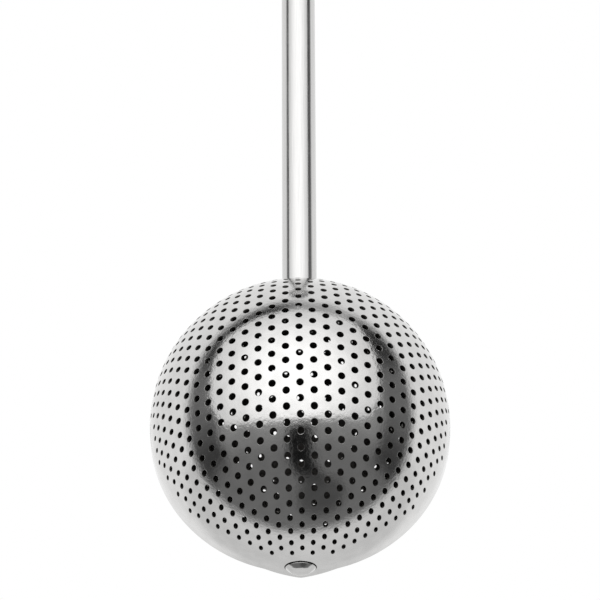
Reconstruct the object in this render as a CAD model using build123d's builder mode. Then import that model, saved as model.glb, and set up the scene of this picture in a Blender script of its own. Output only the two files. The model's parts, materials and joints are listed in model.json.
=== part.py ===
"""Twist-open tea infuser: a perforated steel ball on a long tube stem, turned open by a knob.

The ball is two punched half shells, one nested inside the other. The front shell is fixed to
the stem tube. The rear shell turns half a turn inside it, on a rivet at the bottom pole and on
a rod that runs up the tube to the knob. Millimetres, +Z up the stem, the front shell towards
-Y, and the origin at the tip of the rivet, on the stem's axis.
"""

from build123d import *
import math
import os

os.makedirs("parts", exist_ok=True)

# ---------------------------------------------------------------- driving dimensions

# The ball: each half is a hemisphere with a short straight lip
ball_radius = 22.5
sheet = 0.5
shell_gap = 0.5
lip = 2.0
ear_reach = 4.0  # round the two poles the lip reaches further, in a blunt ear
ear_half_width = 5.4
ear_tip_radius = 1.2
seat_radius = 2.4  # the poles are coined flat, so that the fasteners seat
coin_depth = 0.15

# The perforation: a hexagonal pattern punched in the flat blank and stretched by the press.
# The rear blank has finer holes and lay at another angle in the press, so few holes line up
front_hole_diameter = 1.0
rear_hole_diameter = 0.6
pattern_radius = 13.0  # pitches from the middle of the cup to its last holes
front_pattern_turn = math.radians(0.7)  # from holes in columns parallel to the stem
front_pattern_drop = 0.15  # pitches by which the pattern sits below the middle of the cup
rear_pattern_turn = math.radians(27)
rear_pattern_drop = 0.0
band_tilt = math.radians(5)  # from the cup's mouth to the middle of its blank band

# The stem
tube_radius = 2.65
tube_bore = 2.15
rod_radius = 1.5
running = 0.05  # radial clearance of a turning fit
fixed_clearance = 0.02

# The rivet at the bottom pole
rivet_head_radius = 2.25
rivet_head_height = 0.8
rivet_shank = 1.2

# Heights up the stem, from the rivet's tip
ball_centre = ball_radius - coin_depth + rivet_head_height
ferrule_base = 100.0
grip_base = 107.0
tube_top = 140.0
grip_top = 146.0
knob_base = 147.0
rod_top = 172.0
knob_top = 186.0
overall_height = 190.0

# The fixed grip and the knob
grip_core_radius = 5.5
grip_radius = 7.2
knob_core_radius = 6.2
knob_radius = 8.6
knob_flutes = 10
half_turn = 180.0

rear_radius = ball_radius - sheet - shell_gap


def flat_height(radius):
    """How far a coined pole of a sphere stands from the middle of the ball."""
    return radius - coin_depth


# Faces of the stack at the top and bottom poles
front_pad_inside = ball_centre - flat_height(ball_radius - sheet)
rear_pad_outside = ball_centre - flat_height(rear_radius)
rear_pad_inside = ball_centre - flat_height(rear_radius - sheet)
rod_shoulder = ball_centre + flat_height(rear_radius)
rear_top_inside = ball_centre + flat_height(rear_radius - sheet)
tube_foot = ball_centre + flat_height(ball_radius - sheet)


# ---------------------------------------------------------------- the perforated half shells


def stretched_angle(pitches):
    """Angle from the cup's axis, in radians, of a hole that lies this far out in the blank."""
    return 0.1038 * pitches + 4.14e-5 * pitches**3 - 1.16e-7 * pitches**5


def hole_places(radius, facing, pattern_turn, pattern_drop):
    """A plane in the middle of the wall for each hole of the cup that faces this way."""
    column_pitch = math.sqrt(3) / 2
    columns = math.ceil(pattern_radius / column_pitch)
    rows = math.ceil(pattern_radius)
    places = []
    for column in range(-columns, columns + 1):
        for row in range(-rows, rows + 1):
            sideways = column * column_pitch
            lengthways = row + (column % 2) / 2
            across = sideways * math.cos(pattern_turn) - lengthways * math.sin(pattern_turn)
            up = sideways * math.sin(pattern_turn) + lengthways * math.cos(pattern_turn)
            up -= pattern_drop
            pitches = math.hypot(across, up)
            if pitches > pattern_radius:
                continue
            angle = stretched_angle(pitches)
            turn = math.atan2(up, across)
            outwards = Vector(
                math.sin(angle) * math.cos(turn),
                facing * math.cos(angle),
                math.sin(angle) * math.sin(turn),
            )
            middle = Vector(0, 0, ball_centre) + outwards * (radius - sheet / 2)
            places.append(Plane(origin=middle, z_dir=outwards))
    return places


def perforated_cup(radius, facing, hole_diameter, pattern_turn, pattern_drop):
    """Half shell of this outer radius, open on the side away from facing (-1 is -Y, +1 is +Y)."""
    inside = radius - sheet
    middle = (0, 0, ball_centre)
    # The sphere's own poles and seam are turned into the blank band, clear of every hole
    blank_side = (math.cos(band_tilt), facing * math.sin(band_tilt), 0)
    with BuildSketch(Plane.XY) as ear:
        with Locations((0, -facing * (ear_reach - ear_tip_radius))):
            Circle(ear_tip_radius)
        Rectangle(2 * ear_half_width, 2 * lip)
        make_hull()
    with BuildSketch(Plane.XY) as outline:
        with Locations((0, facing * (radius - lip))):
            Rectangle(2 * radius, 2 * radius)
        add(ear.sketch)
    with BuildPart() as cup:
        with Locations(Plane(origin=middle, x_dir=(0, 0, 1), z_dir=blank_side)):
            Sphere(radius)
            Sphere(inside, mode=Mode.SUBTRACT)
        split(bisect_by=Plane(origin=middle, z_dir=(0, facing, 0)), keep=Keep.TOP)
        with BuildSketch(Plane(origin=middle, z_dir=(0, -facing, 0))):
            Circle(radius)
            Circle(inside, mode=Mode.SUBTRACT)
        extrude(amount=ear_reach)
        extrude(outline.sketch, amount=ball_centre + radius, mode=Mode.INTERSECT)
        for pole in (-1, 1):
            seat_height = ball_centre + pole * flat_height(radius)
            with BuildSketch(Plane(origin=(0, 0, seat_height), z_dir=(0, 0, pole))) as seat:
                Circle(seat_radius)
            extrude(seat.sketch, amount=sheet, mode=Mode.SUBTRACT)
            extrude(seat.sketch, amount=-sheet)
        with Locations(*hole_places(radius, facing, pattern_turn, pattern_drop)):
            Hole(radius=hole_diameter / 2, depth=sheet)
    return cup.part


with BuildPart() as front_shell:
    pattern = (front_hole_diameter, front_pattern_turn, front_pattern_drop)
    add(perforated_cup(ball_radius, -1, *pattern))
    with Locations((0, 0, tube_foot)):
        Hole(radius=tube_radius, depth=2 * sheet)
    with Locations((0, 0, front_pad_inside)):
        Hole(radius=rivet_shank, depth=2 * sheet)
front_shell.part.label = "front_shell"


def key_profile(radius, across_flats):
    """Round bar with two flats, the section that locks a part to the rod."""
    with BuildSketch() as profile:
        Circle(radius)
        Rectangle(across_flats, 2 * radius, mode=Mode.INTERSECT)
    return profile.sketch


tenon_radius = 1.3
tenon_flats = 2.0
washer_sheet = 0.3
thread_radius = 1.0

with BuildPart() as rear_shell:
    pattern = (rear_hole_diameter, rear_pattern_turn, rear_pattern_drop)
    add(perforated_cup(rear_radius, 1, *pattern))
    with BuildSketch(Plane.XY.offset(rod_shoulder)):
        add(key_profile(tenon_radius + fixed_clearance, tenon_flats + 2 * fixed_clearance))
    extrude(amount=2 * sheet, both=True, mode=Mode.SUBTRACT)
    with Locations((0, 0, rear_pad_inside)):
        Hole(radius=rivet_shank + running, depth=2 * sheet)
rear_shell.part.label = "rear_shell"


# ---------------------------------------------------------------- the pivot at the bottom pole

pivot_washer_top = rear_pad_outside - running
tail_base = rear_pad_inside + running
tail_radius = 2.0
tail_height = 0.6
# The head: a nearly flat crown, a round shoulder, and a neck that stands on the shell
crown_edge = (1.55, 0.07)
shoulder_middle = (2.0, 0.34)
shoulder_top = 0.63
neck_base = 0.66
neck_radius = 2.0

with BuildPart() as pivot_rivet:
    with BuildSketch(Plane.XZ):
        with BuildLine():
            head_rim = (rivet_head_radius, shoulder_top)
            TangentArc((0, 0), crown_edge, tangent=(1, 0))
            ThreePointArc(crown_edge, shoulder_middle, head_rim)
            Polyline(
                head_rim,
                (rivet_head_radius, neck_base),
                (neck_radius, neck_base),
                (neck_radius, rivet_head_height),
                (rivet_shank, rivet_head_height),
                (rivet_shank, tail_base),
                (tail_radius, tail_base),
            )
            tail_tip = (0, tail_base + tail_height)
            TangentArc(tail_tip, (tail_radius, tail_base), tangent=(1, 0))
            Line(tail_tip, (0, 0))
        make_face()
    revolve(axis=Axis.Z)
pivot_rivet.part.label = "pivot_rivet"

with BuildPart() as pivot_washer:
    with BuildSketch(Plane.XY.offset(front_pad_inside)):
        Circle(2.4)
        Circle(rivet_shank + running, mode=Mode.SUBTRACT)
    extrude(amount=pivot_washer_top - front_pad_inside)
pivot_washer.part.label = "pivot_washer"


# ---------------------------------------------------------------- the rod and its fastening

nut_height = 1.6
nut_across_flats = 4.0
washer_bottom = rear_top_inside - washer_sheet
rod_foot = washer_bottom - nut_height - 0.4
knob_pin_radius = 0.6
knob_pin_height = 166.0
edge_break = 0.2

with BuildPart() as drive_rod:
    with BuildSketch(Plane.XY.offset(rod_shoulder)):
        Circle(rod_radius)
    extrude(amount=rod_top - rod_shoulder)
    chamfer(faces().sort_by(Axis.Z)[-1].edges(), length=edge_break)
    with BuildSketch(Plane.XY.offset(washer_bottom)):
        add(key_profile(tenon_radius, tenon_flats))
    extrude(amount=rod_shoulder - washer_bottom)
    with BuildSketch(Plane.XY.offset(rod_foot)):
        Circle(thread_radius)
    extrude(amount=washer_bottom - rod_foot)
    chamfer(faces().sort_by(Axis.Z)[0].edges(), length=edge_break)
    with BuildSketch(Plane.YZ):
        with Locations((0, knob_pin_height)):
            Circle(knob_pin_radius)
    extrude(amount=2 * rod_radius, both=True, mode=Mode.SUBTRACT)
drive_rod.part.label = "drive_rod"

with BuildPart() as shell_washer:
    with BuildSketch(Plane.XY.offset(washer_bottom)):
        Circle(2.4)
        Circle(tenon_radius + running, mode=Mode.SUBTRACT)
    extrude(amount=washer_sheet)
shell_washer.part.label = "shell_washer"

with BuildPart() as shell_nut:
    with BuildSketch(Plane.XY.offset(washer_bottom - nut_height)):
        RegularPolygon(radius=nut_across_flats / 2, side_count=6, major_radius=False)
        Circle(thread_radius, mode=Mode.SUBTRACT)
    extrude(amount=nut_height)
shell_nut.part.label = "shell_nut"


# ---------------------------------------------------------------- the stem tube and its bushes

bush_length = 8.0
upper_flange_height = 1.0
gland_radius = 3.05  # the bore above the tube that holds the flange and the friction ring

with BuildPart() as stem_tube:
    with BuildSketch(Plane.XY.offset(tube_foot)):
        Circle(tube_radius)
        Circle(tube_bore, mode=Mode.SUBTRACT)
    extrude(amount=tube_top - tube_foot)
stem_tube.part.label = "stem_tube"

with BuildPart() as lower_bush:
    with BuildSketch(Plane.XY.offset(tube_foot)):
        Circle(tube_bore)
        Circle(rod_radius + running, mode=Mode.SUBTRACT)
    extrude(amount=bush_length)
lower_bush.part.label = "lower_bush"

with BuildPart() as upper_bush:
    with BuildSketch(Plane.XY.offset(tube_top - bush_length)):
        Circle(tube_bore)
    extrude(amount=bush_length)
    with BuildSketch(Plane.XY.offset(tube_top)):
        Circle(gland_radius - running)
    extrude(amount=upper_flange_height)
    with Locations((0, 0, tube_top)):
        Hole(radius=rod_radius + running, depth=2 * bush_length)
upper_bush.part.label = "upper_bush"

ring_section = 0.74
ring_height = tube_top + upper_flange_height + 0.1 + ring_section

with BuildPart() as friction_ring:
    with Locations((0, 0, ring_height)):
        Torus(major_radius=(rod_radius + gland_radius) / 2 - 0.025, minor_radius=ring_section)
friction_ring.part.label = "friction_ring"


# ---------------------------------------------------------------- the fixed grip

grip_flange = 2.0
sleeve_top = grip_top - grip_flange
stop_radius = 4.4
stop_pin_radius = 0.8
stop_pin_seat = 3.0
stop_pin_reach = 1.7  # how far the pin stands up into the knob's groove
stop_angle = -90.0

with BuildPart() as grip_ferrule:
    with BuildSketch(Plane.XZ):
        with BuildLine():
            Polyline(
                (tube_radius, grip_base),
                (tube_radius, ferrule_base),
                (tube_radius + 0.6, ferrule_base),
            )
            TangentArc(
                (tube_radius + 0.6, ferrule_base),
                (grip_core_radius + 0.4, grip_base - 1.5),
                tangent=(1, 1),
            )
            Polyline(
                (grip_core_radius + 0.4, grip_base - 1.5),
                (grip_core_radius + 0.4, grip_base),
                (tube_radius, grip_base),
            )
        make_face()
    revolve(axis=Axis.Z)
grip_ferrule.part.label = "grip_ferrule"

with BuildPart() as grip_core:
    with BuildSketch(Plane.XY.offset(grip_base)):
        Circle(grip_core_radius)
    extrude(amount=sleeve_top - grip_base)
    with BuildSketch(Plane.XY.offset(sleeve_top)):
        Circle(grip_radius)
    extrude(amount=grip_flange)
    with Locations((0, 0, grip_top)):
        CounterBoreHole(
            radius=tube_radius,
            counter_bore_radius=gland_radius,
            counter_bore_depth=grip_top - tube_top,
            depth=grip_top - grip_base,
        )
    with BuildSketch(Plane.XY.offset(grip_top)):
        with PolarLocations(stop_radius, 1, start_angle=stop_angle):
            Circle(stop_pin_radius)
    extrude(amount=-stop_pin_seat, mode=Mode.SUBTRACT)
    fillet(edges().filter_by(GeomType.CIRCLE).filter_by(lambda e: e.radius == grip_radius), 0.4)
grip_core.part.label = "grip_core"

with BuildPart() as grip_sleeve:
    with BuildSketch(Plane.XZ):
        with BuildLine():
            foot = (grip_core_radius + 0.6, grip_base)
            belly = (grip_radius, (grip_base + sleeve_top) / 2 + 3)
            head = (grip_radius - 0.5, sleeve_top)
            ThreePointArc(foot, belly, head)
            Polyline(head, (grip_core_radius, sleeve_top), (grip_core_radius, grip_base), foot)
        make_face()
    revolve(axis=Axis.Z)
grip_sleeve.part.label = "grip_sleeve"

with BuildPart() as stop_pin:
    with BuildSketch(Plane.XY.offset(grip_top - stop_pin_seat)):
        with PolarLocations(stop_radius, 1, start_angle=stop_angle):
            Circle(stop_pin_radius)
    extrude(amount=stop_pin_seat + knob_base - grip_top + stop_pin_reach)
    chamfer(faces().sort_by(Axis.Z)[-1].edges(), length=edge_break)
stop_pin.part.label = "stop_pin"

with BuildPart() as thrust_washer:
    with BuildSketch(Plane.XY.offset(grip_top)):
        Circle(grip_radius - 0.4)
        Circle(stop_radius + stop_pin_radius + 0.4, mode=Mode.SUBTRACT)
    extrude(amount=knob_base - grip_top - running)
thrust_washer.part.label = "thrust_washer"


# ---------------------------------------------------------------- the twist knob

knob_flange = 1.5
knob_sleeve_base = knob_base + knob_flange
spigot_radius = gland_radius - 0.15
spigot_foot = ring_height + ring_section + 0.3
pocket_radius = 4.5
pocket_floor = rod_top + 2.0
groove_depth = 2.0
groove_width = 2 * (stop_pin_radius + 0.1)
groove_spare = 0.5  # degrees at each end of the groove
cap_radius = 7.9
cap_skirt = 4.0

with BuildPart() as knob_core:
    with BuildSketch(Plane.XY.offset(spigot_foot)):
        Circle(spigot_radius)
    extrude(amount=knob_base - spigot_foot)
    with BuildSketch(Plane.XY.offset(knob_base)):
        Circle(grip_radius)
    extrude(amount=knob_flange)
    with BuildSketch(Plane.XY.offset(knob_sleeve_base)):
        Circle(knob_core_radius)
    extrude(amount=knob_top - knob_sleeve_base)
    with BuildSketch(Plane.XY.offset(spigot_foot)):
        Circle(rod_radius)
    extrude(amount=rod_top - spigot_foot, mode=Mode.SUBTRACT)
    with BuildSketch(Plane.XY.offset(pocket_floor)):
        Circle(pocket_radius)
    extrude(amount=knob_top - pocket_floor, mode=Mode.SUBTRACT)
    with BuildSketch(Plane.XY.offset(knob_base)):
        with BuildLine() as groove_line:
            CenterArc(
                (0, 0),
                stop_radius,
                start_angle=stop_angle + groove_spare,
                arc_size=-half_turn - 2 * groove_spare,
            )
        SlotArc(groove_line.wire(), height=groove_width)
    extrude(amount=groove_depth, mode=Mode.SUBTRACT)
    with BuildSketch(Plane.YZ):
        with Locations((0, knob_pin_height)):
            Circle(knob_pin_radius)
    extrude(amount=knob_core_radius, both=True, mode=Mode.SUBTRACT)
knob_core.part.label = "knob_core"

with BuildPart() as knob_pin:
    with BuildSketch(Plane.YZ):
        with Locations((0, knob_pin_height)):
            Circle(knob_pin_radius)
    extrude(amount=knob_core_radius - 0.1, both=True)
knob_pin.part.label = "knob_pin"

flute_radius = 5.0
flute_depth = 0.45

with BuildPart() as knob_sleeve:
    with BuildSketch(Plane.XZ):
        with BuildLine():
            foot = (grip_radius, knob_sleeve_base)
            belly = (knob_radius, knob_sleeve_base + 0.6 * (knob_top - knob_sleeve_base))
            head = (knob_radius - 0.3, knob_top)
            ThreePointArc(foot, belly, head)
            Polyline(
                head,
                (knob_core_radius, knob_top),
                (knob_core_radius, knob_sleeve_base),
                foot,
            )
        make_face()
    revolve(axis=Axis.Z)
    with BuildSketch(Plane.XY.offset(knob_sleeve_base + 4)):
        with PolarLocations(knob_radius + flute_radius - flute_depth, knob_flutes):
            Circle(flute_radius)
    extrude(amount=knob_top - knob_sleeve_base - 8, mode=Mode.SUBTRACT)
knob_sleeve.part.label = "knob_sleeve"

with BuildPart() as knob_cap:
    with BuildSketch(Plane.XZ):
        with BuildLine():
            cap_edge = (cap_radius, knob_top + 1.2)
            TangentArc((0, overall_height), cap_edge, tangent=(1, 0))
            Polyline(
                cap_edge,
                (cap_radius, knob_top),
                (pocket_radius, knob_top),
                (pocket_radius, knob_top - cap_skirt),
                (pocket_radius - 1, knob_top - cap_skirt),
                (pocket_radius - 1, knob_top + 0.6),
                (0, knob_top + 0.6),
                (0, overall_height),
            )
        make_face()
    revolve(axis=Axis.Z)
    fillet(edges().filter_by(GeomType.CIRCLE).filter_by(lambda e: e.radius == cap_radius), 0.4)
knob_cap.part.label = "knob_cap"


# ---------------------------------------------------------------- one file for each piece

pieces = [
    front_shell,
    rear_shell,
    pivot_rivet,
    pivot_washer,
    drive_rod,
    shell_washer,
    shell_nut,
    stem_tube,
    lower_bush,
    upper_bush,
    friction_ring,
    grip_ferrule,
    grip_core,
    grip_sleeve,
    stop_pin,
    thrust_washer,
    knob_core,
    knob_pin,
    knob_sleeve,
    knob_cap,
]
for piece in pieces:
    export_step(piece.part, f"parts/{piece.part.label}.step", write_pcurves=False)
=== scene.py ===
"""Looks of a twist-open tea infuser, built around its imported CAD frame.

The perforated half shells, the stem, the grip and the knob are meshes made here by code. Each
one stands in the place of its CAD node and rides on the same body. The pieces inside the stem
and the knob stay CAD nodes and get better materials. Shapes are written in millimetres, with
+Z up the stem, and turned into metres when a mesh is made.
"""

import json
import math

import bpy
import numpy as np
from mathutils import Matrix, Vector

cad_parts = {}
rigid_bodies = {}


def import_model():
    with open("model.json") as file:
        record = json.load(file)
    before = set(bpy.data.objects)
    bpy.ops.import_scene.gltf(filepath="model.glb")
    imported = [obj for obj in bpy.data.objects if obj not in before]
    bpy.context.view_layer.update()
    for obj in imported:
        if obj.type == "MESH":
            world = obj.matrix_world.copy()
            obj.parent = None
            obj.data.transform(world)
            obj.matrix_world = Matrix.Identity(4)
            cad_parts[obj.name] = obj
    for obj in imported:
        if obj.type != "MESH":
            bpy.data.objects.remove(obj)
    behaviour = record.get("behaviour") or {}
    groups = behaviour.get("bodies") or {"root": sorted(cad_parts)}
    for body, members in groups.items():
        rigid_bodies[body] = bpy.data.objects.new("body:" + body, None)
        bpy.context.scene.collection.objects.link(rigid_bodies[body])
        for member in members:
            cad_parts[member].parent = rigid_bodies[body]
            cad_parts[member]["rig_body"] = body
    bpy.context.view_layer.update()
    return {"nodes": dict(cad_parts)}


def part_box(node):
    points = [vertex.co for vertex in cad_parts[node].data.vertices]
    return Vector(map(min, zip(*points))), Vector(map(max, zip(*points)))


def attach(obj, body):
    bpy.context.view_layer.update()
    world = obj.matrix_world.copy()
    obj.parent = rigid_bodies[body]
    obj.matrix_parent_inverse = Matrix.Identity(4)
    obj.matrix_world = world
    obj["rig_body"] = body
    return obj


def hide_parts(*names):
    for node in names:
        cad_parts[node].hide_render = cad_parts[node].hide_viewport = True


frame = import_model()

MM = 0.001


def node_box(node):
    """Lowest and highest corner of a CAD node at rest, in millimetres."""
    lowest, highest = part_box(node)
    return lowest / MM, highest / MM


# ---------------------------------------------------------------- sizes, from the frame

front_low, front_high = node_box("front_shell")
rear_low, rear_high = node_box("rear_shell")
BALL_RADIUS = (front_high.x - front_low.x) / 2
REAR_RADIUS = (rear_high.x - rear_low.x) / 2
BALL_CENTRE = (front_high.z + front_low.z) / 2
EAR_REACH = front_high.y

SHEET = 0.5
LIP = 2.0
EAR_HALF_WIDTH = 5.4
EAR_TIP_RADIUS = 1.2
SEAT_RADIUS = 2.4
COIN_DEPTH = 0.15
PIVOT_HOLE_RADIUS = 1.2

# The perforation, as punched in the flat blank
PATTERN_RADIUS = 13.0  # in pitches
FRONT_PATTERN = (0.5, math.radians(0.7), 0.15)  # hole radius, turn, and drop in pitches
REAR_PATTERN = (0.3, math.radians(27), 0.0)

# How the press draws the blank out: the angle from the cup's axis, by the distance in pitches
MIDDLE_ANGLE = 0.1038
WIDENING = 4.14e-5
TIGHTENING = 1.16e-7
HOLE_STRETCH = 1.8  # how much more than its surroundings a hole is drawn out


# ---------------------------------------------------------------- meshes


class Skin:
    """Vertices with their own normals and wear, and faces with a material each."""

    def __init__(self):
        self.points = []
        self.normals = []
        self.wear = []
        self.faces = []
        self.finishes = []

    def point(self, place, normal, wear=0.0):
        """Adds a vertex and returns its number."""
        self.points.append(place)
        self.normals.append(normal)
        self.wear.append(wear)
        return len(self.points) - 1

    def face(self, corners, finish=0):
        self.faces.append(corners)
        self.finishes.append(finish)

    def band(self, one, other, finish=0):
        """Quads between two closed rows of vertices of the same length."""
        count = len(one)
        for i in range(count):
            j = (i + 1) % count
            self.face((one[i], one[j], other[j], other[i]), finish)

    def turn_faces_outwards(self):
        """Orders each face's corners so that it faces the way its vertices' normals do."""
        points = np.array(self.points)
        normals = np.array(self.normals)
        for number, face in enumerate(self.faces):
            corners = points[list(face)]
            across = corners[len(face) // 2] - corners[0]
            along = corners[-1] - corners[1]
            if np.dot(np.cross(across, along), normals[list(face)].sum(axis=0)) < 0:
                self.faces[number] = face[::-1]

    def build(self, name, materials):
        """A smooth-shaded object in metres from the vertices and faces."""
        self.turn_faces_outwards()
        mesh = bpy.data.meshes.new(name)
        mesh.from_pydata((np.array(self.points) * MM).tolist(), [], self.faces)
        mesh.polygons.foreach_set("use_smooth", [True] * len(self.faces))
        mesh.polygons.foreach_set("material_index", self.finishes)
        for material in materials:
            mesh.materials.append(material)
        wear = mesh.attributes.new("wear", "FLOAT", "POINT")
        wear.data.foreach_set("value", self.wear)
        mesh.update()
        lengths = np.linalg.norm(self.normals, axis=1, keepdims=True)
        mesh.normals_split_custom_set_from_vertices(np.array(self.normals) / lengths)
        piece = bpy.data.objects.new(name, mesh)
        bpy.context.scene.collection.objects.link(piece)
        return piece


def unit(vector):
    return np.array(vector, float) / np.linalg.norm(vector)


def stand_for(piece, node):
    """The piece rides with its CAD node's body, in the node's place."""
    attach(piece, frame["nodes"][node]["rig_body"])
    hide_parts(node)


# ---------------------------------------------------------------- the perforated half shells


def stretched_angle(pitches):
    """Angle from the cup's axis of a point that lies this far out in the flat blank."""
    return MIDDLE_ANGLE * pitches + WIDENING * pitches**3 - TIGHTENING * pitches**5


def lattice(in_blank):
    """Centres of the holes on the pattern's own axes, in pitches."""
    column_pitch = math.sqrt(3) / 2
    columns = math.ceil(PATTERN_RADIUS / column_pitch)
    rows = math.ceil(PATTERN_RADIUS)
    for column in range(-columns, columns + 1):
        for row in range(-rows, rows + 1):
            cell = (column * column_pitch, row + (column % 2) / 2)
            if math.hypot(*in_blank(*cell)) <= PATTERN_RADIUS:
                yield cell


def lip_edge(across):
    """How far the lip reaches past the cup's mouth, this far across from the pole."""
    middle = EAR_REACH - EAR_TIP_RADIUS
    across = abs(across)
    rise = middle - LIP
    slope = math.atan2(rise, EAR_HALF_WIDTH)
    slope += math.asin(EAR_TIP_RADIUS / math.hypot(rise, EAR_HALF_WIDTH))
    if across >= EAR_HALF_WIDTH:
        return LIP
    if across > EAR_TIP_RADIUS * math.sin(slope):
        return LIP + (EAR_HALF_WIDTH - across) * math.tan(slope)
    return middle + math.sqrt(EAR_TIP_RADIUS**2 - across**2)


def stretch(pitches):
    """How much longer and narrower than in the middle of the cup a hole is, this far out."""
    outwards = MIDDLE_ANGLE + 3 * WIDENING * pitches**2 - 5 * TIGHTENING * pitches**4
    around = math.sin(stretched_angle(pitches)) / pitches if pitches else MIDDLE_ANGLE
    return (outwards / MIDDLE_ANGLE)**HOLE_STRETCH, (around / MIDDLE_ANGLE)**HOLE_STRETCH


class Cup:
    """One half shell. A place on its wall is a turn about the Y axis and a reach: the angle to
    the mouth, in radians and below zero, or the distance past the mouth, in millimetres."""

    SEGMENTS = 18  # round each hole, three to a side of its hexagon
    ROLL = ((0.09, 0.0, 0.0), (0.055, 0.005, 14.0), (0.03, 0.045, 70.0))  # margin, depth, tilt
    BAND_REACHES = (-0.075, -0.055, -0.036, -0.018, 0.0)
    LIP_SHARES = (0.2, 0.4, 0.6, 0.8)
    BLOCK_SHARES = 4  # rows of the lip that a seat takes the place of
    BLOCK_HALF_WIDTH = 3.3
    EDGE = 0.1  # rounding of the rim
    BORE_EDGE = 0.03  # chamfer of each hole on the inner face
    COIN_RINGS = ((0.35, 0.0), (0.1, 0.0), (0.0, 0.5), (-0.06, 1.0))  # margin, share of the drop
    COIN_SLOPE = 0.16  # width of the step round a seat
    BRIGHT_RINGS = 3  # bands of a seat that keep the polish; the step and flat seat past them are a painted ring of shade
    BRIGHT_ROWS = 2  # bands round a hole that keep the polish; past them the edge and bore are near-black painted shade

    def __init__(self, radius, facing, pattern, top_hole, bottom_hole):
        self.facing = facing
        self.hole_radius, self.pattern_turn, self.pattern_drop = pattern
        self.outside = radius
        self.inside = radius - SHEET
        self.pole_holes = {1: top_hole, -1: bottom_hole}
        self.skin = Skin()
        self.turns = []
        self.middle = np.array((0.0, 0.0, BALL_CENTRE))

    def wall(self, radius, turn, reach):
        """A place on the wall, from the ball's centre, and the direction outwards there."""
        if reach <= 0:
            angle = math.pi / 2 + reach
            outwards = np.array((
                math.sin(angle) * math.cos(turn),
                self.facing * math.cos(angle),
                math.sin(angle) * math.sin(turn),
            ))
            return outwards * radius, outwards
        outwards = np.array((math.cos(turn), 0.0, math.sin(turn)))
        return outwards * radius + np.array((0.0, -self.facing * reach, 0.0)), outwards

    def in_blank(self, sideways, lengthways):
        """Place in the flat blank of a point on the pattern's own axes."""
        cos = math.cos(self.pattern_turn)
        sin = math.sin(self.pattern_turn)
        across = sideways * cos - lengthways * sin
        return across, sideways * sin + lengthways * cos - self.pattern_drop

    def blank_point(self, place, radius, sign):
        """A vertex on the outer or inner face, from its place on the pattern's own axes."""
        across, up = self.in_blank(*place)
        angle = stretched_angle(math.hypot(across, up))
        place, outwards = self.wall(radius, math.atan2(up, across), angle - math.pi / 2)
        return self.skin.point(self.middle + place, outwards * sign)

    def punch(self, cell, shared):
        """A hexagon of the wall with its hole: rolled-in edge, bore and inner face."""
        across, up = self.in_blank(*cell)
        angle = stretched_angle(math.hypot(across, up))
        turn = math.atan2(up, across)
        axis = self.wall(1.0, turn, angle - math.pi / 2)[1]
        loops = []
        for radius, sign in ((self.outside, 1), (self.inside, -1)):
            loop = []
            for place in hexagon(*cell, self.SEGMENTS):
                key = (sign, round(place[0], 4), round(place[1], 4))
                if key not in shared:
                    shared[key] = self.blank_point(place, radius, sign)
                loop.append(shared[key])
            loops.append(loop)
        spokes = self.spokes(loops[0], turn, axis, stretch(math.hypot(across, up)))
        rows = [loops[0]]
        for margin, depth, tilt in self.ROLL:
            radius = self.hole_radius + margin
            lean = math.radians(tilt)
            row = []
            for spoke, aside in spokes:
                height = math.sqrt(self.outside**2 - np.dot(spoke, spoke) * radius**2) - depth
                place = axis * height + spoke * radius
                normal = axis * math.cos(lean) - aside * math.sin(lean) if tilt else unit(place)
                row.append(self.skin.point(self.middle + place, normal, wear=tilt / 90))
            rows.append(row)
        inner_height = math.sqrt(self.inside**2 - self.hole_radius**2)
        for radius, height, inner in (
            (self.hole_radius, inner_height + self.BORE_EDGE, False),
            (self.hole_radius + self.BORE_EDGE, inner_height, True),
        ):
            row = []
            for spoke, aside in spokes:
                place = axis * height + spoke * radius
                normal = -unit(place) if inner else -aside
                row.append(self.skin.point(self.middle + place, normal, wear=0.5))
            rows.append(row)
        rows.append(loops[1])
        # Past the polished bands, the rolled edge, bore and inner face take the near-black steel as
        # painted shade
        for number, (one, other) in enumerate(zip(rows, rows[1:])):
            self.skin.band(one, other, finish=0 if number < self.BRIGHT_ROWS else 1)

    def spokes(self, loop, turn, axis, stretched):
        """Reaches from a hole's axis to its edge, facing the points of the loop round it.

        Each comes with the direction in which the edge faces there.
        """
        longer, shorter = stretched
        rim = np.array([self.skin.points[i] for i in loop]) - self.middle
        around = np.array((-math.sin(turn), 0.0, math.cos(turn)))
        away = np.cross(around, axis) * self.facing
        bearings = np.unwrap(np.arctan2(rim @ around / shorter, rim @ away / longer))
        step = math.copysign(math.tau / self.SEGMENTS, bearings[-1] - bearings[0])
        start = np.mean(bearings - step * np.arange(self.SEGMENTS))
        spokes = []
        for bearing in start + step * np.arange(self.SEGMENTS):
            cos = math.cos(bearing)
            sin = math.sin(bearing)
            reach = away * cos * longer + around * sin * shorter
            spokes.append((reach, unit(away * cos / longer + around * sin / shorter)))
        return spokes

    def perforate(self):
        """All the holes. Returns the outer and inner loops round the pattern, in blank order."""
        shared = {}
        cells = list(lattice(self.in_blank))
        for cell in cells:
            self.punch(cell, shared)
        sides = {}
        for cell in cells:
            corners = hexagon(*cell, self.SEGMENTS)
            keys = [(round(x, 4), round(y, 4)) for x, y in corners]
            for one, other in zip(keys, keys[1:] + keys[:1]):
                if (other, one) in sides:
                    del sides[other, one]
                else:
                    sides[one, other] = True
        after = {one: other for one, other in sides}
        first = max(after, key=lambda key: self.in_blank(*key)[1])
        loop = [first]
        while after[loop[-1]] != first:
            loop.append(after[loop[-1]])
        loops = [[shared[(sign,) + key] for key in loop] for sign in (1, -1)]
        return loops, [self.in_blank(*key) for key in loop]

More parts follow.
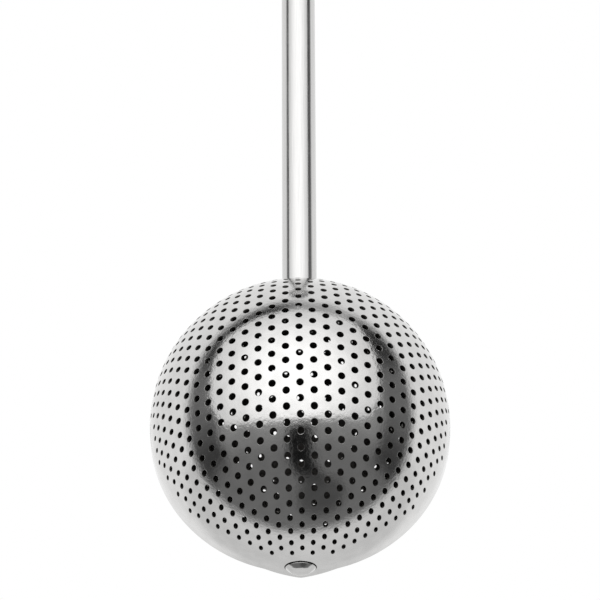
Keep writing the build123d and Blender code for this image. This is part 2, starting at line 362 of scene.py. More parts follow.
    def plain_band(self, loops, blank_loop):
        """The blank band, the lip with its two ears and the rounded rim."""
        count = len(blank_loop)
        step = math.tau / count
        bearings = np.unwrap([math.atan2(y, x) for x, y in blank_loop])
        offset = np.mean(bearings - step * np.arange(count))
        first = math.pi / 2 + (round((offset - math.pi / 2) / step - 0.5) + 0.5) * step
        self.turns = [first + step * i for i in range(count)]
        grids = []
        for radius, sign, loop in (
            (self.outside, 1, loops[0]),
            (self.inside, -1, loops[1]),
        ):
            grid = [loop]
            for reach in self.BAND_REACHES:
                grid.append(self.row(radius, sign, lambda turn, reach=reach: reach))
            for share in self.LIP_SHARES:
                grid.append(self.row(
                    radius,
                    sign,
                    lambda turn, share=share: share * lip_edge(radius * math.cos(turn)),
                ))
            grids.append(grid)
        self.close_rim(grids)
        # The inner face takes the near-black steel: painted shade inside the ball
        for finish, grid in enumerate(grids):
            for row, (one, other) in enumerate(zip(grid, grid[1:])):
                for i in range(count):
                    if self.in_block(row, i):
                        continue
                    j = (i + 1) % count
                    self.skin.face((one[i], one[j], other[j], other[i]), finish)
        for pole in (1, -1):
            self.seat(grids, pole)

    def row(self, radius, sign, reach_at):
        row = []
        for turn in self.turns:
            place, outwards = self.wall(radius, turn, reach_at(turn))
            row.append(self.skin.point(self.middle + place, outwards * sign))
        return row

    def close_rim(self, grids):
        """Rounds the rim over from the outer face to the inner face."""
        rows = []
        for radius, towards, lean in (
            (self.outside, 0.0, 0),
            (self.outside - 0.3 * self.EDGE, 0.7 * self.EDGE, 45),
            (self.outside - self.EDGE, self.EDGE, 90),
            (self.inside + self.EDGE, self.EDGE, 90),
            (self.inside + 0.3 * self.EDGE, 0.7 * self.EDGE, 135),
            (self.inside, 0.0, 180),
        ):
            row = []
            for turn in self.turns:
                across = radius * math.cos(turn)
                reach = lip_edge(across) - self.EDGE + towards
                place, outwards = self.wall(radius, turn, reach)
                slope = (lip_edge(across + 0.05) - lip_edge(across - 0.05)) / 0.1
                edgewise = unit((-slope, -self.facing, 0.0))
                lean_angle = math.radians(lean)
                normal = outwards * math.cos(lean_angle) + edgewise * math.sin(lean_angle)
                row.append(self.skin.point(self.middle + place, normal, wear=0.6))
            rows.append(row)
        grids[0].append(rows[0])
        grids[1].append(rows[-1])
        for one, other in zip(rows, rows[1:]):
            self.skin.band(one, other, finish=0)

    def in_block(self, row, column):
        """Whether this quad of the grid is one that a seat takes the place of."""
        if row >= len(self.BAND_REACHES) + self.BLOCK_SHARES:
            return False
        turn = self.turns[column] + (self.turns[1] - self.turns[0]) / 2
        return abs(self.outside * math.cos(turn)) < self.BLOCK_HALF_WIDTH

    def seat(self, grids, pole):
        """A coined flat seat round a pole, with its hole, on both faces and through the wall."""
        count = len(self.turns)
        last_row = len(self.BAND_REACHES) + self.BLOCK_SHARES
        columns = [
            i for i in range(count)
            if self.in_block(0, i) and math.sin(self.turns[i]) * pole > 0
        ]
        columns = in_order(columns, count)
        columns.append((columns[-1] + 1) % count)
        holes = []
        for grid, radius, sign in zip(grids, (self.outside, self.inside), (1, -1)):
            border = [grid[0][i] for i in columns]
            border += [grid[row][columns[-1]] for row in range(1, last_row)]
            border += [grid[last_row][i] for i in reversed(columns)]
            border += [grid[row][columns[0]] for row in range(last_row - 1, 0, -1)]
            holes.append(self.coin(border, radius, sign, pole))
        # The wall through the seat's hole takes the near-black steel as painted shade
        self.skin.band(holes[0], holes[1], finish=1)

    def coin(self, border, radius, sign, pole):
        """Rings from a border on the wall in to the flat seat and its hole."""
        points = np.array([self.skin.points[i] for i in border]) - self.middle
        bearings = np.unwrap(np.arctan2(points[:, 1], points[:, 0]))
        count = len(border)
        way = math.copysign(math.tau / count, bearings[-1] - bearings[0])
        even = way * np.arange(count)
        even += np.mean(bearings - even)
        bearings = (bearings + even) / 2
        level = radius - COIN_DEPTH
        hole = self.pole_holes[pole]
        rings = [border]
        upwards = np.array((0.0, 0.0, float(pole)))
        spokes = [np.array((math.cos(b), math.sin(b), 0.0)) for b in bearings]
        for margin, share in self.COIN_RINGS:
            across = SEAT_RADIUS + margin
            if across <= hole:
                continue
            ring = []
            for spoke in spokes:
                x, y, _ = spoke * across
                height, outwards = self.over_seat(x, y, radius, pole)
                drop = (height - level) / self.COIN_SLOPE if 0 < share < 1 else 0.0
                normal = unit(outwards * (1 - share) + upwards * share - spoke * drop)
                height = height * (1 - share) + level * share
                place = self.middle + np.array((x, y, pole * height))
                wear = share * (1 - share) * 2
                ring.append(self.skin.point(place, normal * sign, wear))
            rings.append(ring)
        ring = []
        for spoke in spokes:
            x, y, _ = spoke * hole
            height = level if hole < SEAT_RADIUS else self.over_seat(x, y, radius, pole)[0]
            place = self.middle + np.array((x, y, pole * height))
            ring.append(self.skin.point(place, upwards * sign))
        rings.append(ring)
        # The step and flat seat take the near-black steel: a painted shade ring where the rivet and
        # the stem meet the shell; the inner face is painted shade throughout
        for number, (one, other) in enumerate(zip(rings, rings[1:])):
            bright = sign > 0 and number < self.BRIGHT_RINGS
            self.skin.band(one, other, finish=0 if bright else 1)
        return ring

    def over_seat(self, x, y, radius, pole):
        """Height and outward direction of the uncoined wall over a place near a pole."""
        along_band = y if y * self.facing > 0 else 0.0
        height = math.sqrt(radius**2 - x**2 - along_band**2)
        return height, unit((x, along_band, pole * height))

    def build(self, name, materials):
        loops, blank_loop = self.perforate()
        self.plain_band(loops, blank_loop)
        return self.skin.build(name, materials)


def hexagon(across, up, segments):
    """Points round the cell of one hole in the flat blank, corners and along the sides."""
    reach = 1 / math.sqrt(3)
    bearings = [k * math.pi / 3 for k in range(6)]
    corners = [(across + reach * math.cos(b), up + reach * math.sin(b)) for b in bearings]
    parts = segments // 6
    points = []
    for (x0, y0), (x1, y1) in zip(corners, corners[1:] + corners[:1]):
        for part in range(parts):
            share = part / parts
            points.append((x0 + (x1 - x0) * share, y0 + (y1 - y0) * share))
    return points


def in_order(columns, count):
    """Neighbouring column numbers in order, where they may run over the end of the row."""
    chosen = set(columns)
    first = next(i for i in columns if (i - 1) % count not in chosen)
    return [(first + i) % count for i in range(len(columns))]


# ---------------------------------------------------------------- turned pieces


GENTLE_BEND = math.radians(16)


def is_closed(outline):
    """Whether an outline runs all round its section, not from axis to axis."""
    return outline[0][0] > 0 or outline[-1][0] > 0


def rounded(outline, radius, steps=3):
    """Points of an outline with its corners rounded, each as (place, normal, wear).

    The outline runs with the material on its left. Gentle bends, as along a drawn curve, stay.
    """
    closed = is_closed(outline)
    points = [np.array(p, float) for p in outline]
    count = len(points)
    result = []
    for i, here in enumerate(points):
        before = points[i - 1]
        after = points[(i + 1) % count]
        if not closed and i == 0:
            result.append((here, right_of(after - here), 0.0))
            continue
        if not closed and i == count - 1:
            result.append((here, right_of(here - before), 0.0))
            continue
        arriving = unit(here - before)
        leaving = unit(after - here)
        bend = math.acos(np.clip(np.dot(arriving, leaving), -1, 1))
        if bend < GENTLE_BEND:
            result.append((here, right_of(unit(arriving + leaving)), 0.0))
            continue
        room = 0.45 * min(np.linalg.norm(here - before), np.linalg.norm(after - here))
        size = min(radius * math.tan(bend / 2), room)
        start = here - arriving * size
        end = here + leaving * size
        for step in range(steps + 1):
            t = step / steps
            place = (1 - t)**2 * start + 2 * t * (1 - t) * here + t**2 * end
            heading = unit((1 - t) * arriving + t * leaving)
            result.append((place, right_of(heading), math.sin(math.pi * t) * 0.7 + 0.3))
    return result


def right_of(heading):
    """The direction to the right of a heading, which is out of the material."""
    return np.array((heading[1], -heading[0]))


def arc(start, end, heading, steps=12):
    """Points along the arc from start to end that leaves start with this heading."""
    start = np.array(start, float)
    end = np.array(end, float)
    heading = unit(heading)
    chord = end - start
    side = np.array((-heading[1], heading[0]))
    radius = np.dot(chord, chord) / (2 * np.dot(chord, side))
    centre = start + side * radius
    spread = 2 * math.atan2(np.dot(chord, side), np.dot(chord, heading))
    points = []
    for step in range(steps + 1):
        angle = spread * step / steps
        turned_back = start - centre
        cos, sin = math.cos(angle), math.sin(angle)
        points.append(tuple(centre + np.array((
            turned_back[0] * cos - turned_back[1] * sin,
            turned_back[0] * sin + turned_back[1] * cos,
        ))))
    return points


ON_AXIS = 1e-6


def turned(name, outline, materials, edge, segments=96, radius_at=None):
    """A solid of revolution about the stem's axis, its sharp corners rounded by edge.

    The outline is (radius, height) points with the material on its left. radius_at(radius,
    height, angle) may reshape it, as for flutes.
    """
    skin = Skin()
    rows = []
    for place, normal, wear in rounded(outline, edge):
        radius, height = place
        if radius < ON_AXIS:
            pole = (0.0, 0.0, math.copysign(1.0, normal[1]))
            rows.append([skin.point((0.0, 0.0, height), pole)] * segments)
            continue
        row = []
        for i in range(segments):
            angle = math.tau * i / segments
            reach = radius_at(radius, height, angle) if radius_at else radius
            outwards = np.array((math.cos(angle), math.sin(angle), 0.0))
            direction = outwards * normal[0] + np.array((0.0, 0.0, normal[1]))
            if radius_at:
                turn = 0.01
                ahead = radius_at(radius, height, angle + turn)
                behind = radius_at(radius, height, angle - turn)
                slope = (ahead - behind) / (2 * turn * reach)
                around = np.array((-math.sin(angle), math.cos(angle), 0.0))
                direction = direction - around * slope * normal[0]
            row.append(skin.point(outwards * reach + np.array((0.0, 0.0, height)), direction, wear))
        rows.append(row)
    following = rows[1:] + rows[:1] if is_closed(outline) else rows[1:]
    for one, other in zip(rows, following):
        for i in range(segments):
            j = (i + 1) % segments
            corners = []
            for corner in (one[i], one[j], other[j], other[i]):
                if corner not in corners:
                    corners.append(corner)
            skin.face(tuple(corners))
    return skin.build(name, materials)


# ---------------------------------------------------------------- materials


class Finish:
    """A node material, with short ways to add the nodes that this script uses."""

    def __init__(self, name, colour, metallic, roughness):
        self.material = bpy.data.materials.new(name)
        self.material.use_nodes = True
        self.nodes = self.material.node_tree.nodes
        self.links = self.material.node_tree.links
        self.shader = self.nodes["Principled BSDF"]
        self.shader.inputs["Base Color"].default_value = (*colour, 1)
        self.shader.inputs["Metallic"].default_value = metallic
        self.shader.inputs["Roughness"].default_value = roughness
        self.place = self.nodes.new("ShaderNodeTexCoord").outputs["Object"]

    def noise(self, scale, detail=3.0, stretch=(1, 1, 1), roughness=0.5):
        """Noise with this many features to the millimetre along each axis."""
        mapping = self.nodes.new("ShaderNodeMapping")
        mapping.inputs["Scale"].default_value = [scale / MM * s for s in stretch]
        self.links.new(self.place, mapping.inputs["Vector"])
        noise = self.nodes.new("ShaderNodeTexNoise")
        noise.inputs["Scale"].default_value = 1.0
        noise.inputs["Detail"].default_value = detail
        noise.inputs["Roughness"].default_value = roughness
        self.links.new(mapping.outputs["Vector"], noise.inputs["Vector"])
        return noise.outputs["Fac"]

    def attribute(self, name):
        node = self.nodes.new("ShaderNodeAttribute")
        node.attribute_name = name
        return node.outputs["Fac"]

    def between(self, value, low, high, start=0.0, end=1.0):
        """value from start to end, mapped to low to high and held there."""
        node = self.nodes.new("ShaderNodeMapRange")
        node.inputs["From Min"].default_value = start
        node.inputs["From Max"].default_value = end
        node.inputs["To Min"].default_value = low
        node.inputs["To Max"].default_value = high
        self.links.new(value, node.inputs["Value"])
        return node.outputs["Result"]

    def math(self, operation, one, other):
        node = self.nodes.new("ShaderNodeMath")
        node.operation = operation
        for socket, value in zip(node.inputs, (one, other)):
            if isinstance(value, (int, float)):
                socket.default_value = value
            else:
                self.links.new(value, socket)
        return node.outputs["Value"]

    def blend(self, share, dark, light):
        """A colour between two, by share."""
        node = self.nodes.new("ShaderNodeMix")
        node.data_type = "RGBA"
        self.links.new(share, node.inputs["Factor"])
        for socket, value in ((node.inputs["A"], dark), (node.inputs["B"], light)):
            if isinstance(value, tuple):
                socket.default_value = (*value, 1)
            else:
                self.links.new(value, socket)
        return next(o for o in node.outputs if o.type == "RGBA")

    def set(self, socket, value):
        """Drives an input of the shader by the output of a node."""
        self.links.new(value, self.shader.inputs[socket])

    def bump(self, height, distance):
        """Adds a bump of this depth in millimetres to those already there."""
        node = self.nodes.new("ShaderNodeBump")
        node.inputs["Distance"].default_value = distance * MM
        self.links.new(height, node.inputs["Height"])
        normal = self.shader.inputs["Normal"]
        if normal.is_linked:
            self.links.new(normal.links[0].from_socket, node.inputs["Normal"])
        self.links.new(node.outputs["Normal"], normal)


def polished_steel():
    """Pressed and tumbled stainless sheet: bright, with a fine grain and soft mottling."""
    steel = Finish("polished_steel", (0.64, 0.635, 0.625), 1.0, 0.2)
    mottling = steel.noise(0.55, detail=4)
    grain = steel.noise(5.0, detail=2)
    wear = steel.attribute("wear")
    steel.set("Base Color", steel.blend(
        steel.between(mottling, 0, 1, 0.35, 0.65), (0.60, 0.597, 0.59), (0.66, 0.656, 0.648)))
    rough = steel.math(
        "ADD",
        steel.between(grain, 0.07, 0.15, 0.3, 0.7),
        steel.between(mottling, -0.02, 0.03, 0.3, 0.7),
    )
    steel.set("Roughness", steel.math("ADD", rough, steel.math("MULTIPLY", wear, 0.06)))
    steel.bump(grain, 0.003)
    steel.bump(steel.noise(2.2, detail=3), 0.011)
    steel.bump(mottling, 0.012)
    return steel.material


def rough_steel_painted_shade():
    """The inside of the pressed sheet: never polished, so rougher, and given a near-black colour as
    painted shade for the hollows, bores and gaps.
    """
    # Near-black base colour: painted shade, not the steel's own colour
    steel = Finish("rough_steel_painted_shade", (0.1, 0.097, 0.093), 1.0, 0.5)
    stain = steel.noise(0.25, detail=5)
    grain = steel.noise(6.0, detail=2)
    steel.set("Base Color", steel.blend(
        steel.between(stain, 0, 1, 0.35, 0.7), (0.11, 0.107, 0.102), (0.07, 0.066, 0.06)))
    steel.set("Roughness", steel.between(grain, 0.42, 0.58, 0.3, 0.7))
    steel.bump(grain, 0.004)
    return steel.material


def satin_steel(name, stretch):
    """Brushed stainless steel, its fine lines drawn out along the short side of stretch."""
    steel = Finish(name, (0.62, 0.615, 0.61), 1.0, 0.25)
    lines = steel.noise(1.0, detail=4, stretch=stretch, roughness=0.65)
    cloud = steel.noise(0.2, detail=3)
    wear = steel.attribute("wear")
    steel.set("Base Color", steel.blend(
        steel.between(lines, 0, 1, 0.3, 0.7), (0.57, 0.567, 0.563), (0.66, 0.656, 0.65)))
    rough = steel.math(
        "ADD",
        steel.between(lines, 0.12, 0.22, 0.3, 0.7),
        steel.between(cloud, -0.03, 0.03, 0.3, 0.7),
    )
    steel.set("Roughness", steel.math("SUBTRACT", rough, steel.math("MULTIPLY", wear, 0.06)))
    steel.bump(lines, 0.004)
    return steel.material


def soft_rubber():
    """Matte black thermoplastic rubber with a spark-eroded texture, scuffed paler at its edges."""
    rubber = Finish("soft_rubber", (0.045, 0.045, 0.05), 0.0, 0.6)
    texture = rubber.noise(4.5, detail=3)
    dust = rubber.noise(0.35, detail=5)
    patches = rubber.between(dust, 0.2, 1.0, 0.35, 0.65)
    wear = rubber.math("MULTIPLY", rubber.attribute("wear"), patches)
    body = rubber.blend(
        rubber.between(dust, 0, 1, 0.4, 0.7), (0.036, 0.036, 0.04), (0.055, 0.054, 0.057))
    scuffs = rubber.math("MULTIPLY", wear, 0.5)
    rubber.set("Base Color", rubber.blend(scuffs, body, (0.13, 0.13, 0.135)))
    rubber.set("Roughness", rubber.math(
        "SUBTRACT",
        rubber.between(texture, 0.52, 0.74, 0.3, 0.7),
        rubber.math("MULTIPLY", wear, 0.12),
    ))
    rubber.bump(texture, 0.03)
    rubber.bump(dust, 0.02)
    return rubber.material


def hard_plastic():
    """Matte moulded plastic with a fine even texture."""
    plastic = Finish("hard_plastic", (0.09, 0.09, 0.1), 0.0, 0.45)
    texture = plastic.noise(3.0, detail=2)
    cloud = plastic.noise(0.25, detail=4)
    plastic.set("Base Color", plastic.blend(
        plastic.between(cloud, 0, 1, 0.35, 0.65), (0.075, 0.075, 0.083), (0.1, 0.1, 0.11)))
    plastic.set("Roughness", plastic.between(texture, 0.36, 0.52, 0.3, 0.7))
    plastic.bump(texture, 0.015)
    return plastic.material


def bearing_plastic():
    """Natural acetal: white, slightly waxy, with faint turning lines."""
    plastic = Finish("bearing_plastic", (0.86, 0.85, 0.82), 0.0, 0.3)
    lines = plastic.noise(1.0, detail=3, stretch=(0.2, 0.2, 9.0))
    cloud = plastic.noise(0.3, detail=3)
    plastic.set("Base Color", plastic.blend(
        plastic.between(cloud, 0, 1, 0.35, 0.65), (0.8, 0.785, 0.75), (0.87, 0.86, 0.83)))
    plastic.set("Roughness", plastic.between(lines, 0.24, 0.38, 0.3, 0.7))
    plastic.bump(lines, 0.006)
    return plastic.material


POLISHED = polished_steel()
# Near-black steel used as painted shade on inner faces, hole bores, seats and the rivet's neck
ROUGH_PAINTED_SHADE = rough_steel_painted_shade()
DRAWN = satin_steel("drawn_steel", (7.0, 7.0, 0.12))
LATHED = satin_steel("lathed_steel", (0.15, 0.15, 9.0))
RUBBER = soft_rubber()
PLASTIC = hard_plastic()
ACETAL = bearing_plastic()

# CAD nodes that stay take these finishes
for names, finish in (
    (("drive_rod", "knob_pin", "stop_pin"), DRAWN),
    (("pivot_washer", "shell_washer", "shell_nut"), LATHED),
    (("grip_core", "knob_core"), PLASTIC),
    (("lower_bush", "upper_bush", "thrust_washer"), ACETAL),
    (("friction_ring",), RUBBER),
):
    for node in names:
        mesh = frame["nodes"][node].data
        mesh.materials.clear()
        mesh.materials.append(finish)


# ---------------------------------------------------------------- the ball

tube_low, tube_high = node_box("stem_tube")
TUBE_RADIUS = tube_high.x

ROD_HOLE_RADIUS = 1.32
REAR_PIVOT_HOLE_RADIUS = 1.25

front = Cup(BALL_RADIUS, -1, FRONT_PATTERN, TUBE_RADIUS, PIVOT_HOLE_RADIUS)
stand_for(front.build("front_half_shell", [POLISHED, ROUGH_PAINTED_SHADE]), "front_shell")

rear = Cup(REAR_RADIUS, 1, REAR_PATTERN, ROD_HOLE_RADIUS, REAR_PIVOT_HOLE_RADIUS)
stand_for(rear.build("rear_half_shell", [POLISHED, ROUGH_PAINTED_SHADE]), "rear_shell")

rivet_high = node_box("pivot_rivet")[1]
HEAD_RADIUS = rivet_high.x
HEAD_HEIGHT = 0.8
HEAD_UNDERCUT = 0.03
SHANK_RADIUS = PIVOT_HOLE_RADIUS
NECK_RADIUS = 2.0
NECK_BASE = 0.7
TAIL_RADIUS = 2.0
TAIL_HEIGHT = 0.6
# The head's outline from its tip to its edge, as (slope in degrees, length)
HEAD_OUTLINE = (
    (1, 0.5), (2, 0.5), (14, 0.06), (30, 0.06), (50, 0.25), (54, 0.3), (56, 0.3),
    (66, 0.06), (82, 0.08),
)
head_steps = [
    (length * math.cos(math.radians(slope)), length * math.sin(math.radians(slope)))
    for slope, length in HEAD_OUTLINE
]
head_widths, head_rises = np.cumsum([(0.0, 0.0)] + head_steps, axis=0).T
head_dome = list(zip(
    head_widths / head_widths[-1] * HEAD_RADIUS,
    head_rises / head_rises[-1] * (NECK_BASE - HEAD_UNDERCUT),
))
tail_base = rivet_high.z - TAIL_HEIGHT
tail_dome = arc((0, rivet_high.z), (TAIL_RADIUS, tail_base), (1, 0))
rivet = turned(
    "rivet",
    head_dome
    + [
        (NECK_RADIUS, NECK_BASE),
        (NECK_RADIUS, HEAD_HEIGHT),
        (SHANK_RADIUS, HEAD_HEIGHT),
        (SHANK_RADIUS, tail_base),
    ]
    + tail_dome[::-1],
    [POLISHED, ROUGH_PAINTED_SHADE],
    edge=0.05,
)
# Between its head and its tail the rivet takes the near-black steel: painted shade in the gap under
# its head
ROUNDING_ERROR = 0.001
for face in rivet.data.polygons:
    if NECK_BASE - ROUNDING_ERROR < face.center.z / MM < tail_base:
        face.material_index = 1
stand_for(rivet, "pivot_rivet")


# ---------------------------------------------------------------- the stem and the grip

TUBE_BORE = 2.15
tube = turned(
    "stem",
    [
        (TUBE_RADIUS, tube_low.z),
        (TUBE_RADIUS, tube_high.z),
        (TUBE_BORE, tube_high.z),
        (TUBE_BORE, tube_low.z),
    ],
    [DRAWN],
    edge=0.1,
)
stand_for(tube, "stem_tube")

ferrule_low, ferrule_high = node_box("grip_ferrule")
FERRULE_WALL = 0.6
FERRULE_BAND = 1.5
ferrule_foot = (TUBE_RADIUS + FERRULE_WALL, ferrule_low.z)
ferrule = turned(
    "ferrule",
    arc(ferrule_foot, (ferrule_high.x, ferrule_high.z - FERRULE_BAND), (1, 1))
    + [
        (ferrule_high.x, ferrule_high.z),
        (TUBE_RADIUS, ferrule_high.z),
        (TUBE_RADIUS, ferrule_low.z),
    ],
    [LATHED],
    edge=0.2,
)
stand_for(ferrule, "grip_ferrule")


def barrel(foot, belly, head, steps=24):
    """Points along the arc through three points, from foot to head."""
    (x0, z0), (x1, z1), (x2, z2) = foot, belly, head
    scale = 2 * (x0 * (z1 - z2) + x1 * (z2 - z0) + x2 * (z0 - z1))
    a, b, c = x0**2 + z0**2, x1**2 + z1**2, x2**2 + z2**2
    centre_x = (a * (z1 - z2) + b * (z2 - z0) + c * (z0 - z1)) / scale
    centre_z = (a * (x2 - x1) + b * (x0 - x2) + c * (x1 - x0)) / scale
    radius = math.hypot(x0 - centre_x, z0 - centre_z)
    points = []
    for step in range(steps + 1):
        height = z0 + (z2 - z0) * step / steps
        points.append((centre_x + math.sqrt(radius**2 - (height - centre_z)**2), height))
    return points


sleeve_low, sleeve_high = node_box("grip_sleeve")
GRIP_RADIUS = 7.2
GRIP_CORE_RADIUS = 5.5
GRIP_FOOT_RADIUS = 6.1
GRIP_HEAD_RADIUS = 6.7
BELLY_RISE = 3.0
grip_middle = (sleeve_low.z + sleeve_high.z) / 2
grip = turned(
    "grip",
    barrel(
        (GRIP_FOOT_RADIUS, sleeve_low.z),
        (GRIP_RADIUS, grip_middle + BELLY_RISE),
        (GRIP_HEAD_RADIUS, sleeve_high.z),
    )
    + [(GRIP_CORE_RADIUS, sleeve_high.z), (GRIP_CORE_RADIUS, sleeve_low.z)],
    [RUBBER],
    edge=0.5,
)
stand_for(grip, "grip_sleeve")


# ---------------------------------------------------------------- the knob

knob_low, knob_high = node_box("knob_sleeve")
KNOB_RADIUS = 8.6
KNOB_HEAD_RADIUS = 8.3
KNOB_CORE_RADIUS = 6.2
WIDEST_AT = 0.6  # share of the knob's length
FLUTES = 10
FLUTE_RADIUS = 5.0
FLUTE_DEPTH = 0.45
FLUTE_MARGIN = 4.0
FLUTE_RUN_OUT = 1.5
FLUTE_SOFTNESS = 0.03


def fluted(radius, height, angle):
    """The knob's reach at this angle, with its shallow flutes fading out towards both ends."""
    if radius < (KNOB_CORE_RADIUS + GRIP_RADIUS) / 2:
        return radius
    flute_axis = KNOB_RADIUS + FLUTE_RADIUS - FLUTE_DEPTH
    step = math.tau / FLUTES
    off = (angle + step / 2) % step - step / 2
    sideways = flute_axis * math.sin(off)
    if abs(sideways) >= FLUTE_RADIUS:
        return radius
    cut = flute_axis * math.cos(off) - math.sqrt(FLUTE_RADIUS**2 - sideways**2)
    ends = min(height - knob_low.z - FLUTE_MARGIN, knob_high.z - FLUTE_MARGIN - height)
    fade = min(max(ends / FLUTE_RUN_OUT + 0.5, 0), 1)
    fade = fade**2 * (3 - 2 * fade)
    depth = max(radius - cut, 0)
    soft = depth**2 / (depth + FLUTE_SOFTNESS)
    return radius - soft * fade


knob = turned(
    "knob_grip",
    barrel(
        (GRIP_RADIUS, knob_low.z),
        (KNOB_RADIUS, knob_low.z + WIDEST_AT * (knob_high.z - knob_low.z)),
        (KNOB_HEAD_RADIUS, knob_high.z),
        steps=60,
    )
    + [(KNOB_CORE_RADIUS, knob_high.z), (KNOB_CORE_RADIUS, knob_low.z)],
    [RUBBER],
    edge=0.4,
    segments=240,
    radius_at=fluted,
)
stand_for(knob, "knob_sleeve")

cap_low, cap_high = node_box("knob_cap")
CAP_RADIUS = cap_high.x
SKIRT_RADIUS = 4.5
SKIRT_BORE = 3.5
SKIRT = 4.0
CAP_BAND = 1.2
cap_base = cap_low.z + SKIRT
cap_dome = arc((0, cap_high.z), (CAP_RADIUS, cap_base + CAP_BAND), (1, 0), steps=20)
cap = turned(
    "end_cap",
    [
        (0, cap_base + CAP_BAND / 2),
        (SKIRT_BORE, cap_base + CAP_BAND / 2),
        (SKIRT_BORE, cap_low.z),
        (SKIRT_RADIUS, cap_low.z),
        (SKIRT_RADIUS, cap_base),
        (CAP_RADIUS, cap_base),
    ]
    + cap_dome[::-1],
    [POLISHED],
    edge=0.35,
)
stand_for(cap, "knob_cap")


# ---------------------------------------------------------------- studio


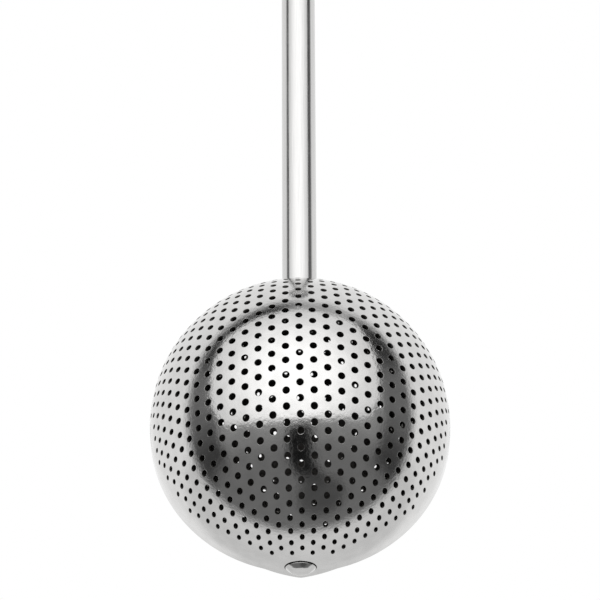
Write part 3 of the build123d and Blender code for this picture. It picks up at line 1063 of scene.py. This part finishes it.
def studio_light():
    """A white sweep behind the object, a large softbox in front and above, and a dim room.

    The room is written as brightness by direction. The camera sees the plain sweep all round.
    """
    world = bpy.data.worlds.new("studio")
    bpy.context.scene.world = world
    world.use_nodes = True
    nodes = world.node_tree.nodes
    links = world.node_tree.links
    background = nodes["Background"]
    background.inputs["Color"].default_value = (1, 1, 1, 1)
    direction = nodes.new("ShaderNodeTexCoord").outputs["Generated"]

    def along(axis):
        node = nodes.new("ShaderNodeVectorMath")
        node.operation = "DOT_PRODUCT"
        node.inputs[1].default_value = axis
        links.new(direction, node.inputs[0])
        return node.outputs["Value"]

    def ramp(value, start, end):
        node = nodes.new("ShaderNodeMapRange")
        node.interpolation_type = "SMOOTHSTEP"
        node.inputs["From Min"].default_value = start
        node.inputs["From Max"].default_value = end
        links.new(value, node.inputs["Value"])
        return node.outputs["Result"]

    def give(socket, value):
        if isinstance(value, (int, float)):
            socket.default_value = value
        else:
            links.new(value, socket)

    def combine(operation, *values):
        node = nodes.new("ShaderNodeMath")
        node.operation = operation
        for socket, value in zip(node.inputs, values):
            give(socket, value)
        return node.outputs["Value"]

    def mix(share, low, high):
        node = nodes.new("ShaderNodeMapRange")
        for socket, value in (("To Min", low), ("To Max", high), ("Value", share)):
            give(node.inputs[socket], value)
        return node.outputs["Result"]

    def beyond(value, limit):
        """How far value lies past the limit, and 0 below it."""
        return combine("MAXIMUM", combine("SUBTRACT", value, limit), 0)

    def close_to(value, middle, inner, outer):
        """1 within inner of the middle, falling to 0 at outer."""
        off = combine("ABSOLUTE", combine("SUBTRACT", value, middle))
        return ramp(off, outer, inner)

    rightwards = along((1, 0, 0))
    forwards = along((0, 1, 0))
    upwards = along((0, 0, 1))
    downwards = along((0, 0, -1))
    above_foot = along((-0.06, -0.32, 1))
    overhead = combine("MULTIPLY", beyond(upwards, 0.3), 0.2)
    behind = combine("SUBTRACT", along((0, 0.968, 0.25)), overhead)

    # The dim room: its side walls with the ceiling, its front, and a dark patch at the lower right
    ceiling = mix(close_to(rightwards, 0.2, 0.12, 0.4), 0.03, 0.45)
    walls = mix(ramp(upwards, -0.5, 0.2), 0.045, 0.18)
    walls = mix(ramp(upwards, 0.35, 0.7), walls, ceiling)
    front = mix(ramp(above_foot, -0.5, -0.02), 0.19, 0.31)
    off_front = combine("MULTIPLY", ramp(behind, -0.5, -0.32), ramp(downwards, 0.65, 0.4))
    room = mix(off_front, front, walls)
    room = mix(ramp(along((0.237, -0.199, -0.951)), 0.93, 0.985), room, 0.09)

    # The black column of the camera and its stand, bending to the right at its foot
    bend = combine("MULTIPLY", ramp(forwards, -0.75, -0.2), 0.25)
    stand = close_to(rightwards, bend, 0.08, 0.24)
    stand = combine("MULTIPLY", stand, ramp(downwards, 0.28, 0.45))
    stand = combine("MULTIPLY", stand, ramp(forwards, -0.3, -0.6))
    light = mix(stand, room, 0.01)

    # The softbox, a little to the left and brightest in its middle, with cut lower corners
    cut_corners = beyond(downwards, -0.1)
    half_width = combine("SUBTRACT", along((-0.1625, -2.0636, 0.24)), cut_corners)
    off_middle = combine("ABSOLUTE", along((0.9969, -0.0785, 0)))
    sides = ramp(combine("SUBTRACT", half_width, off_middle), -0.05, 0.07)
    top = ramp(along((0, -1, -0.2)), 0.0, 0.04)
    foot = ramp(above_foot, -0.04, 0.07)
    panel = combine("MULTIPLY", combine("MULTIPLY", top, sides), foot)
    glow = mix(ramp(along((-0.07, -0.9484, 0.309)), 0.5, 1.1), 0.97, 1.7)
    light = mix(panel, light, glow)

    # The white sweep behind, a little darker where it turns into the floor
    sweep = mix(ramp(downwards, 0.0, 0.6), 1.0, 0.84)
    sweep = mix(close_to(downwards, 0.42, 0.1, 0.3), sweep, 0.79)
    light = mix(ramp(behind, -0.01, 0.2), light, sweep)

    # What the camera sees past the object is the sweep
    seen = nodes.new("ShaderNodeLightPath").outputs["Is Camera Ray"]
    links.new(mix(seen, light, 1.0), background.inputs["Strength"])


def pale_floor():
    """A pale floor under the hanging infuser, well below the camera."""
    half = 7.0
    drop = 0.5
    corners = [(-half, -half), (half, -half), (half, half), (-half, half)]
    mesh = bpy.data.meshes.new("floor")
    mesh.from_pydata([(x, y, -drop) for x, y in corners], [], [(0, 1, 2, 3)])
    floor = bpy.data.objects.new("floor", mesh)
    bpy.context.scene.collection.objects.link(floor)
    paper = Finish("floor_paper", (0.82, 0.82, 0.82), 0.0, 0.7)
    fibres = paper.noise(0.02, detail=4)
    paper.set("Base Color", paper.blend(fibres, (0.8, 0.8, 0.8), (0.84, 0.84, 0.84)))
    mesh.materials.append(paper.material)
    floor.visible_glossy = False


def camera():
    """A long lens that looks up at the ball from in front and below."""
    view_distance = 0.4962
    focal_length = 198.5
    rise = math.radians(23.9)
    aim_higher = math.radians(2.213)
    lean = math.radians(-0.25)
    off_axis = 0.075 * MM
    data = bpy.data.cameras.new("camera")
    data.lens = focal_length
    data.sensor_width = 36.0
    data.clip_end = 40.0
    eye = bpy.data.objects.new("camera", data)
    bpy.context.scene.collection.objects.link(eye)
    target = Vector((0, 0, BALL_CENTRE * MM))
    eye.location = target + view_distance * Vector((0, -math.cos(rise), -math.sin(rise)))
    eye.location.x += off_axis
    turn = Matrix.Rotation(math.pi / 2 + rise + aim_higher, 3, "X") @ Matrix.Rotation(lean, 3, "Z")
    eye.rotation_euler = turn.to_euler()
    bpy.context.scene.camera = eye


studio_light()
pale_floor()
camera()
bpy.context.scene.view_settings.view_transform = "Standard"
